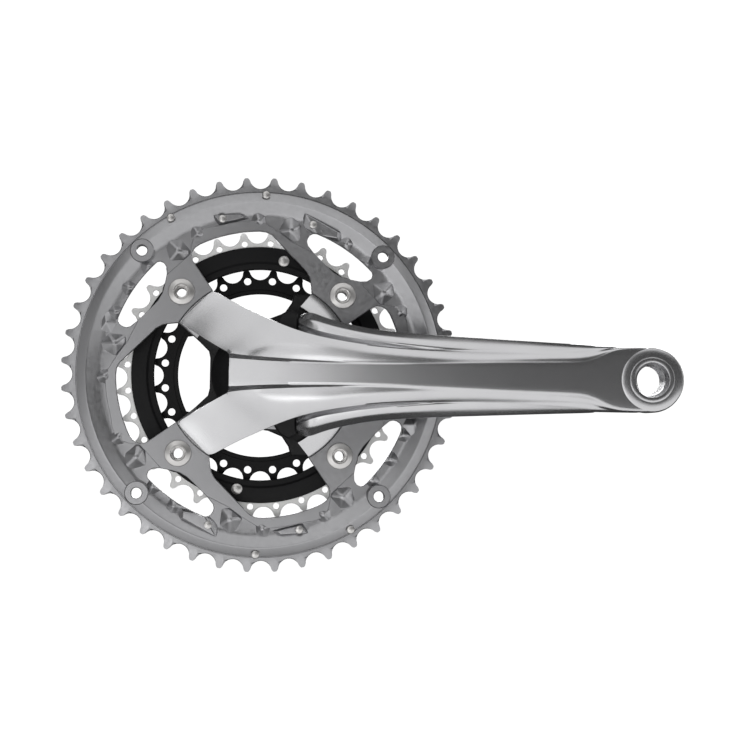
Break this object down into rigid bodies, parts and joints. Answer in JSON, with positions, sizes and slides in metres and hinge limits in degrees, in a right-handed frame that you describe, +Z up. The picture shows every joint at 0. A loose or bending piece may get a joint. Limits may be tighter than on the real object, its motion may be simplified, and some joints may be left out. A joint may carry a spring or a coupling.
{
  "type": "bicycle crankset",
  "caption": "Drive-side bicycle crank: forged arm with spider on a hollow axle, triple chainrings, and an external-cup bottom bracket it spins in.",
  "frame": {"origin": "crank axis at the middle of the bottom bracket shell, which is the bicycle's middle plane", "axes": "+Y along the crank axis from the drive side to the left side, so the chainrings' outer faces look along -Y; +X from the crank axis to the pedal axis; +Z up"},
  "size_m": [0.2801, 0.1565, 0.1806],
  "materials": {
    "arm_alloy": "polished and clear anodised",
    "ring_alloy": "satin, fine bead-blasted",
    "tooth_steel": "satin plated",
    "bright_steel": "bright plated",
    "black_steel": "black satin",
    "black_alloy": "black anodised",
    "composite": "black moulded, satin",
    "rubber": "matt"
  },
  "bodies": {
    "bottom_bracket": {"right_cup": "black_alloy", "left_cup": "black_alloy", "right_outer_race": "bright_steel", "left_outer_race": "bright_steel", "right_bearing_seal": "rubber", "left_bearing_seal": "rubber", "right_o_ring": "rubber", "left_o_ring": "rubber", "dust_tube": "composite", "cup_spacer": "composite"},
    "crank": {"right_crank_arm": "arm_alloy", "axle": "bright_steel", "outer_chainring": "ring_alloy", "middle_chainring_teeth": "tooth_steel", "middle_chainring_carrier": "composite", "inner_chainring": "black_steel", "chainring_bolt_1": "bright_steel", "chainring_bolt_2": "bright_steel", "chainring_bolt_3": "bright_steel", "chainring_bolt_4": "bright_steel", "chainring_nut_1": "bright_steel", "chainring_nut_2": "bright_steel", "chainring_nut_3": "bright_steel", "chainring_nut_4": "bright_steel", "inner_ring_bolt_1": "black_steel", "inner_ring_bolt_2": "black_steel", "inner_ring_bolt_3": "black_steel", "inner_ring_bolt_4": "black_steel", "shift_pin_1": "bright_steel", "shift_pin_2": "bright_steel", "shift_pin_3": "bright_steel", "shift_pin_4": "bright_steel", "shift_pin_5": "bright_steel", "shift_pin_6": "bright_steel", "shift_pin_7": "bright_steel", "shift_pin_8": "bright_steel", "middle_ring_pin_1": "bright_steel", "middle_ring_pin_2": "bright_steel", "chain_drop_pin": "bright_steel", "right_inner_race": "bright_steel", "left_inner_race": "bright_steel", "right_bush": "composite", "left_bush": "composite"},
    "right_balls": {"right_ball_cage": "bright_steel"},
    "left_balls": {"left_ball_cage": "bright_steel"}
  },
  "joints": [
    {"name": "crank_spin", "type": "hinge", "parent": "bottom_bracket", "child": "crank", "pos_m": [0, 0, 0], "axis": [0, 1, 0], "continuous": true},
    {"name": "right_balls_spin", "type": "hinge", "parent": "bottom_bracket", "child": "right_balls", "pos_m": [0, 0, 0], "axis": [0, 1, 0], "continuous": true},
    {"name": "left_balls_spin", "type": "hinge", "parent": "bottom_bracket", "child": "left_balls", "pos_m": [0, 0, 0], "axis": [0, 1, 0], "continuous": true}
  ],
  "couplings": [
    {"joint": "right_balls_spin", "follows": "crank_spin", "ratio": 0.4444},
    {"joint": "left_balls_spin", "follows": "crank_spin", "ratio": 0.4444}
  ]
}
